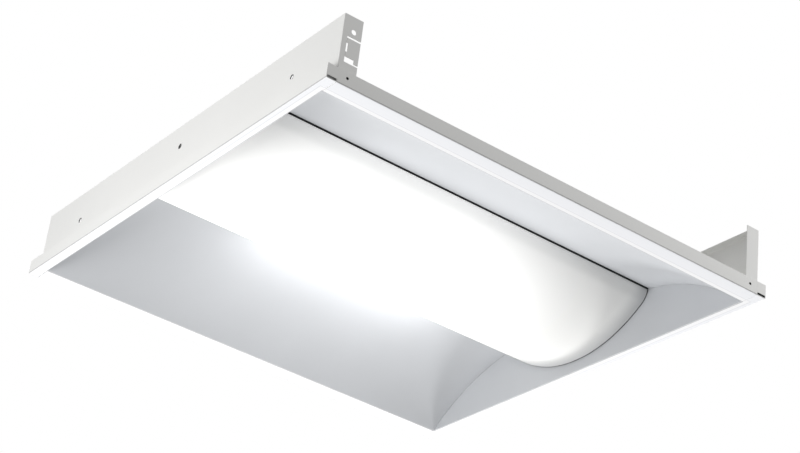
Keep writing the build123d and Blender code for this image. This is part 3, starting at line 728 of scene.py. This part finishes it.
@dataclass(frozen=True)
class GalvanisedSteel(Finish):
    """Hot-dip galvanised sheet: zinc crystals, called spangle, each at its own angle to the light."""

    spangle_mm: float = 7.0
    relief_mm: float = 0.02
    relief_strength: float = 0.08
    roughness: float = 0.38
    glossier: float = 0.04
    duller: float = 0.06

    def sockets(self, tree: Tree, place: Socket) -> Sockets:
        """One colour, gloss and height for each crystal."""
        crystal = add_node(
            tree, "TexVoronoi", {"Vector": place, "Scale": per_metre(self.spangle_mm), "Randomness": 1.0}
        )
        tone, shine, height = add_node(tree, "SeparateColor", {"Color": crystal.outputs["Color"]}).outputs
        gloss = add_node(
            tree, "MapRange",
            {"Value": shine, "To Min": self.roughness - self.glossier, "To Max": self.roughness + self.duller},
        )
        bump = add_node(
            tree, "Bump",
            {"Height": height, "Strength": self.relief_strength, "Distance": self.relief_mm * MM},
        )
        return {
            "Base Color": layered(tree, Tint.SPANGLE_DARK.light, [(tone, Tint.SPANGLE_LIGHT.light)]),
            "Metallic": 1.0,
            "Roughness": gloss.outputs["Result"],
            "Normal": bump.outputs["Normal"],
        }


@dataclass(frozen=True)
class PlatedMetal(Finish):
    """Small turned or drawn metal parts, bright zinc plate or bare aluminium, with fine drawing marks."""

    colour: Tint = Tint.ZINC
    roughness: float = 0.3
    glossier: float = 0.08
    duller: float = 0.12
    marks_mm: float = 0.6
    shade: float = 0.82

    def sockets(self, tree: Tree, place: Socket) -> Sockets:
        """Fine marks in gloss, with a little darker metal between them."""
        noise = add_node(tree, "TexNoise", {"Vector": place, "Scale": per_metre(self.marks_mm), "Detail": 4.0})
        marks = noise.outputs["Fac"]
        gloss = add_node(
            tree, "MapRange",
            {"Value": marks, "To Min": self.roughness - self.glossier, "To Max": self.roughness + self.duller},
        )
        return {
            "Base Color": two_tone(tree, marks, self.colour.darker(self.shade), self.colour.light),
            "Metallic": 1.0,
            "Roughness": gloss.outputs["Result"],
        }


@dataclass(frozen=True)
class BrushedSheet(Finish):
    """Mill-finish aluminium sheet: rolling lines run along the sheet and stretch each reflection."""

    colour: Tint = Tint.DRIVER
    line_mm: float = 0.7
    line_depth_mm: float = 0.01
    line_strength: float = 0.2
    stretch: float = 0.02
    roughness: float = 0.36
    unevenness: float = 0.08
    shade: float = 0.85

    def sockets(self, tree: Tree, place: Socket) -> Sockets:
        """Noise squeezed along X into lines, in colour, gloss and bump."""
        lines = add_node(tree, "Mapping", {"Vector": place, "Scale": (self.stretch, 1.0, 1.0)})
        noise = add_node(
            tree, "TexNoise",
            {"Vector": lines.outputs["Vector"], "Scale": per_metre(self.line_mm), "Detail": 3.0},
        )
        grain = noise.outputs["Fac"]
        low, high = self.roughness - self.unevenness, self.roughness + self.unevenness
        gloss = add_node(tree, "MapRange", {"Value": grain, "To Min": low, "To Max": high})
        bump = add_node(
            tree, "Bump",
            {"Height": grain, "Strength": self.line_strength, "Distance": self.line_depth_mm * MM},
        )
        return {
            "Base Color": two_tone(tree, grain, self.colour.darker(self.shade), self.colour.light),
            "Metallic": 1.0,
            "Roughness": gloss.outputs["Result"],
            "Normal": bump.outputs["Normal"],
        }


@dataclass(frozen=True)
class SolderMask(Finish):
    """White solder mask over copper: the tracks under it stand a little proud and shine through."""

    track_mm: float = 3.0
    track_length_mm: float = 16.5
    gap_mm: float = 0.2
    track_depth_mm: float = 0.05
    track_strength: float = 0.3
    shade: float = 0.95
    gap_shade: float = 0.8

    def sockets(self, tree: Tree, place: Socket) -> Sockets:
        """Broad tracks along the board as faint steps in height and tone."""
        tracks = add_node(
            tree, "TexBrick",
            {
                "Vector": place,
                "Color1": Tint.SOLDER_MASK.light,
                "Color2": Tint.SOLDER_MASK.darker(self.shade),
                "Mortar": Tint.SOLDER_MASK.darker(self.gap_shade),
                "Scale": 1.0,
                "Mortar Size": self.gap_mm * MM,
                "Brick Width": self.track_length_mm * MM,
                "Row Height": self.track_mm * MM,
            },
        )
        bump = add_node(
            tree, "Bump",
            {
                "Height": tracks.outputs["Fac"],
                "Strength": self.track_strength,
                "Distance": self.track_depth_mm * MM,
            },
            invert=True,
        )
        return {
            "Base Color": tracks.outputs["Color"],
            "Roughness": 0.3,
            "IOR": 1.52,
            "Normal": bump.outputs["Normal"],
        }


ENAMEL = PowderCoat("powder_coated_steel")
# this coat carries painted shade and a painted highlight
REFLECTOR_WITH_PAINTED_SHADE = ReflectorCoat("powder_coat_with_painted_shade")
ACRYLIC = FrostedAcrylic("satin_frosted_acrylic")
RAIL_PVC = MouldedPlastic("extruded_white_pvc", Tint.RAIL, 0.4)
NYLON_IVORY = MouldedPlastic("ivory_nylon", Tint.IVORY, 0.42)
NYLON_BLACK = MouldedPlastic("matte_black_nylon", Tint.BLACK, 0.5)
POLYCARBONATE = MouldedPlastic("charcoal_polycarbonate", Tint.CHARCOAL, 0.4)
AMBER = MouldedPlastic("amber_polycarbonate", Tint.AMBER, 0.15)
LAMINATE = MouldedPlastic("glass_laminate", Tint.LAMINATE, 0.35)
PHOSPHOR = MouldedPlastic("phosphor_silicone", Tint.PHOSPHOR, 0.25)
SLEEVE = MouldedPlastic("black_sleeve", Tint.BLACK, 0.22)
PVC_BLACK = MouldedPlastic("black_pvc_insulation", Tint.BLACK, 0.35)
PVC_WHITE = MouldedPlastic("white_pvc_insulation", Tint.WHITE_WIRE, 0.35)
PVC_GREEN = MouldedPlastic("green_pvc_insulation", Tint.GREEN_WIRE, 0.35)
PVC_BLUE = MouldedPlastic("blue_pvc_insulation", Tint.BLUE_WIRE, 0.35)
SPANGLE = GalvanisedSteel("spangled_galvanised_steel")
ZINC = PlatedMetal("bright_zinc_plate", Tint.ZINC, 0.28)
GREEN_ZINC = PlatedMetal("green_dyed_zinc", Tint.GREEN_WIRE, 0.35)
RIVET_ALUMINIUM = PlatedMetal("drawn_aluminium", Tint.ALUMINIUM, 0.34)
DRIVER_SHEET = BrushedSheet("mill_finish_aluminium")
MASK = SolderMask("white_solder_mask")


# ---- Sub-assemblies ----


@dataclass
class Assembly:
    """A group of pieces that are made and dressed together."""

    title: str

    def build(self) -> list[bpy.types.Object]:
        """Make and dress the pieces, and return them."""
        raise NotImplementedError

    def dressed(self, finishes: dict[str, Finish]) -> list[bpy.types.Object]:
        """Give frame nodes their finishes.

        Args:
            finishes: node name to finish.

        Returns:
            The nodes' objects.
        """
        pieces = []
        for name, finish in finishes.items():
            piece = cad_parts[name]
            finish.dress(piece)
            pieces.append(piece)
        return pieces


@dataclass
class Housing(Assembly):
    """The sheet-steel body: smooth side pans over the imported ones, end plates, clips and top."""

    sheet: float = 0.8 * MM
    bend: float = 1.2 * MM
    upstand: float = 17.0 * MM
    side_trim: float = 23.5 * MM
    corner_gap: float = 3.6 * MM
    butt: float = 0.3 * MM
    cove_slope: float = radians(41.0)
    lip: float = 10.3 * MM
    bend_steps: int = 9
    cove_steps: int = 65
    stations: int = 49

    def cove_path(self, outer: float, edge: float, top: float) -> Array:
        """The underside of a side pan from the top of its upstand to the top of its lip.

        Down the upstand, round a quarter bend, in along the trim, up the cove and up the lip. The cove
        is one arc through the trim's inner edge and the foot of the lip: its first slope is given, and
        its last is twice the chord's slope less the first. A point of it is
        (centre + radius sin s, centre + radius cos s) for slopes s from first to last.

        Args:
            outer: y of the upstand's outer face.
            edge: y of the lip's face beside the lens.
            top: z of the lip's top.

        Returns:
            n x 2 points (y, z).
        """
        trim = outer - self.side_trim
        rise = top - self.lip
        width = trim - edge
        last = 2 * np.arctan2(rise, width) - self.cove_slope
        radius = width / (sin(self.cove_slope) - sin(last))
        corner = arc((outer - self.bend, self.bend), self.bend, 0.0, -pi / 2, self.bend_steps)
        slopes = np.linspace(self.cove_slope, last, self.cove_steps)
        cove = np.column_stack([
            trim - radius * (sin(self.cove_slope) - np.sin(slopes)),
            radius * (np.cos(slopes) - cos(self.cove_slope)),
        ])
        start = np.array([[outer, self.upstand]])
        end = np.array([[edge, top]])
        return np.vstack([start, corner, cove, end])

    def upstand_path(self, outer: float) -> Array:
        """The plain strip of the upstand that runs on over the end trim."""
        return np.array([[outer, self.upstand], [outer, self.corner_gap]])

    def side_pan(self, node: str, side: int) -> bpy.types.Object:
        """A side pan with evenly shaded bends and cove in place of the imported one.

        Args:
            node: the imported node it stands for.
            side: +1 or -1, the side of the lens along Y.

        Returns:
            The piece.
        """
        low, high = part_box(node)
        half = high[0]
        inner = abs(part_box("housing_top")[1][0]) - self.butt
        outer = max(abs(low[1]), abs(high[1]))
        edge = min(abs(low[1]), abs(high[1]))
        path = self.cove_path(outer, edge, high[2])
        middle = sheet_along_x(path, -self.sheet, np.linspace(-inner, inner, self.stations))
        strips = [
            sheet_along_x(self.upstand_path(outer), -self.sheet, np.array([a, b]))
            for a, b in ((-half, -inner), (inner, half))
        ]
        vertices, faces = merged([middle, *strips])
        vertices = vertices * np.array([1.0, side, 1.0])
        if side > 0:
            faces = faces[:, ::-1]
        piece = make_piece(node + "_shell", vertices, faces, "housing")
        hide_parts(node)
        REFLECTOR_WITH_PAINTED_SHADE.dress(piece)
        return piece

    def build(self) -> list[bpy.types.Object]:
        """Make the side pans and dress the rest of the body."""
        pans = [self.side_pan("side_pan_left", -1), self.side_pan("side_pan_right", 1)]
        nodes = {
            "end_plate_near": REFLECTOR_WITH_PAINTED_SHADE,
            "end_plate_far": REFLECTOR_WITH_PAINTED_SHADE,
            "tbar_clip_near": ENAMEL,
            "tbar_clip_far": ENAMEL,
            "housing_top": ENAMEL,
            "gear_tray": ENAMEL,
            "access_cover": SPANGLE,
        }
        return pans + self.dressed(nodes)


@dataclass
class LensSet(Assembly):
    """The bowed lens and the rails that hold its lips."""

    wall: float = 2.0 * MM
    shoulder: float = 25.0 * MM
    lip: float = 5.8 * MM
    bow_steps: int = 97
    shoulder_steps: int = 33
    stations: int = 65
    crease_deg: float = 50.0

    def section(self, half: float, low: float, top: float) -> Array:
        """The lens's outer face from one lip's top to the other's.

        Two quarter-like shoulder arcs join a wide bow smoothly. With b from the middle to a shoulder's
        centre, and d the bow's drop below it, the bow's centre is (b squared + d squared) / 2d above
        the shoulder's own circle, so both arcs share a tangent where they meet.

        Args:
            half: half the width over the lips.
            low: lowest line of the bow.
            top: top of the lips.

        Returns:
            n x 2 points (y, z).
        """
        edge = top - self.lip
        b, d = half - self.shoulder, edge - low - self.shoulder
        arm = (b * b + d * d) / (2 * d)
        bow = arm + self.shoulder
        turn = asin(b / arm)
        left = arc((-b, edge), self.shoulder, pi, 1.5 * pi - turn, self.shoulder_steps)
        middle = arc((0.0, low + bow), bow, 1.5 * pi - turn, 1.5 * pi + turn, self.bow_steps)
        right = arc((b, edge), self.shoulder, 1.5 * pi + turn, 2 * pi, self.shoulder_steps)
        start, end = np.array([[-half, top]]), np.array([[half, top]])
        return np.vstack([start, left, middle[1:-1], right, end])

    def build(self) -> list[bpy.types.Object]:
        """Make the smooth lens and dress the rails."""
        low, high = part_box("lens")
        path = self.section(high[1], low[2], high[2])
        vertices, faces = sheet_along_x(path, self.wall, np.linspace(low[0], high[0], self.stations))
        lens = make_piece("lens_shell", vertices, faces, "lens", self.crease_deg)
        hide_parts("lens")
        ACRYLIC.dress(lens)
        return [lens] + self.dressed({"lens_rail_left": RAIL_PVC, "lens_rail_right": RAIL_PVC})


@dataclass
class LightEngine(Assembly):
    """Boards, diodes and their connectors under the gear tray."""

    boards: int = 4

    def build(self) -> list[bpy.types.Object]:
        """Dress the boards, diodes and connectors."""
        nodes: dict[str, Finish] = {"board_links": NYLON_IVORY, "board_inlets": NYLON_IVORY}
        for number in range(1, self.boards + 1):
            nodes[f"led_board_{number}"] = MASK
            nodes[f"leds_{number}"] = PHOSPHOR
        return self.dressed(nodes)


@dataclass
class Driver(Assembly):
    """The driver and the wiring in the gear tray."""

    def build(self) -> list[bpy.types.Object]:
        """Dress the driver, leads and splices."""
        return self.dressed({
            "driver_base": DRIVER_SHEET,
            "driver_cover": DRIVER_SHEET,
            "driver_input_plug": POLYCARBONATE,
            "driver_output_plug": POLYCARBONATE,
            "driver_circuit": LAMINATE,
            "driver_parts": SLEEVE,
            "wire_bushing": NYLON_BLACK,
            "line_lead": PVC_BLACK,
            "neutral_lead": PVC_WHITE,
            "ground_lead": PVC_GREEN,
            "led_leads": PVC_BLUE,
            "wire_splices": AMBER,
        })


@dataclass
class Fasteners(Assembly):
    """Rivets and screws."""

    def build(self) -> list[bpy.types.Object]:
        """Dress the fasteners."""
        return self.dressed({
            "corner_rivets": RIVET_ALUMINIUM,
            "channel_rivets": RIVET_ALUMINIUM,
            "flange_rivets": RIVET_ALUMINIUM,
            "rail_rivets": RIVET_ALUMINIUM,
            "tray_screws": ZINC,
            "board_screws": ZINC,
            "driver_screws": ZINC,
            "cover_screw": ZINC,
            "ground_screw": GREEN_ZINC,
        })


# ---- Studio ----


@dataclass(frozen=True)
class SoftBox:
    """A lamp with a flat face, aimed at a point; neither the camera nor a reflection shows it."""

    name: str
    place: Place
    aim: Place
    size: tuple[float, float]
    watts: float

    def build(self) -> None:
        """Add the lamp."""
        lamp = bpy.data.lights.new(self.name, "AREA")
        lamp.shape = "RECTANGLE"
        lamp.size, lamp.size_y = self.size
        lamp.energy = self.watts
        holder = bpy.data.objects.new(self.name, lamp)
        way = Vector(self.aim) - Vector(self.place)
        holder.matrix_world = Matrix.Translation(self.place) @ way.to_track_quat("-Z", "Y").to_matrix().to_4x4()
        holder.visible_camera = False
        holder.visible_glossy = False
        bpy.context.scene.collection.objects.link(holder)


@dataclass
class Studio:
    """White surroundings on every side, soft lamps and the photograph's camera.

    There is no floor, because the light hangs in a ceiling and is looked at from below.
    """

    ambient: float = 0.3
    camera_place: Place = (-1.1597, -1.7273, -1.0791)
    camera_forward: Place = (0.48964, 0.72362, 0.48644)
    camera_right: Place = (0.78845, -0.60566, 0.10732)
    focal_px: float = 2053.7
    clip: Span = (0.05, 50.0)
    lamps: list[SoftBox] = field(default_factory=lambda: [
        SoftBox("key_from_near_end", (-1.15, 0.0, -0.42), (0.0, 0.0, 0.03), (0.6, 0.6), 7.4),
        SoftBox("fill_from_far_end", (1.3, 0.45, -0.85), (0.05, 0.05, 0.0), (0.35, 0.35), 8.0),
        SoftBox("fill_from_below", (0.1, 1.6, -1.7), (0.0, 0.0, 0.0), (1.2, 1.2), 38.0),
        SoftBox("rim_from_far_corner", (1.1, -1.1, 0.05), (0.3, -0.3, 0.01), (0.4, 0.4), 7.0),
        SoftBox("top_soft", (0.0, 0.0, 2.4), (0.0, 0.0, 0.0), (2.4, 2.4), 28.0),
        SoftBox("spill_on_right_wing", (0.025, 0.113, 0.03), (0.025, 0.2, 0.055), (0.28, 0.03), 0.1),
        SoftBox("spill_on_left_wing", (0.0, -0.14, 0.034), (0.0, -0.2, 0.05), (0.3, 0.03), 0.02),
    ])

    def camera(self) -> None:
        """Place the camera from its forward and right directions, and set its focal length."""
        data = bpy.data.cameras.new("photo_camera")
        data.sensor_width = SENSOR_WIDTH_MM
        data.lens = self.focal_px / PHOTO_WIDTH_PX * SENSOR_WIDTH_MM
        data.clip_start, data.clip_end = self.clip
        right = Vector(self.camera_right).normalized()
        forward = Vector(self.camera_forward).normalized()
        up = right.cross(forward).normalized()
        turn = Matrix((right, up, -forward)).transposed().to_4x4()
        holder = bpy.data.objects.new("photo_camera", data)
        holder.matrix_world = Matrix.Translation(self.camera_place) @ turn
        bpy.context.scene.collection.objects.link(holder)
        bpy.context.scene.camera = holder

    def surroundings(self) -> None:
        """White where the camera, a reflection or glass looks; plain soft light for everything else."""
        world = bpy.data.worlds.new("studio")
        world.use_nodes = True
        tree = world.node_tree
        tree.nodes.clear()
        ray = add_node(tree, "LightPath")
        seen = ray.outputs["Is Camera Ray"]
        for other in ("Is Glossy Ray", "Is Transmission Ray"):
            seen = add_node(tree, "Math", {0: seen, 1: ray.outputs[other]}, operation="MAXIMUM").outputs[0]
        strength = add_node(tree, "MapRange", {"Value": seen, "To Min": self.ambient, "To Max": 1.0})
        sky = add_node(
            tree, "Background", {"Color": (1.0, 1.0, 1.0, 1.0), "Strength": strength.outputs["Result"]}
        )
        add_node(tree, "OutputWorld", {"Surface": sky.outputs["Background"]})
        bpy.context.scene.world = world

    def build(self) -> None:
        """Set the whole studio."""
        scene = bpy.context.scene
        scene.view_settings.view_transform = "Standard"
        self.surroundings()
        for lamp in self.lamps:
            lamp.build()
        self.camera()


def main() -> None:
    """Build the studio and every sub-assembly, and report each piece."""
    logging.basicConfig(level=logging.INFO, format="%(name)s: %(message)s")
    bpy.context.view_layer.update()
    Studio().build()
    assemblies: list[Assembly] = [
        Housing("housing"),
        LensSet("lens and rails"),
        LightEngine("light engine"),
        Driver("driver and wiring"),
        Fasteners("fasteners"),
    ]
    for assembly in assemblies:
        pieces = assembly.build()
        log.info("%s: %s", assembly.title, ", ".join(piece.name for piece in pieces))


if __name__ == "__main__":
    main()
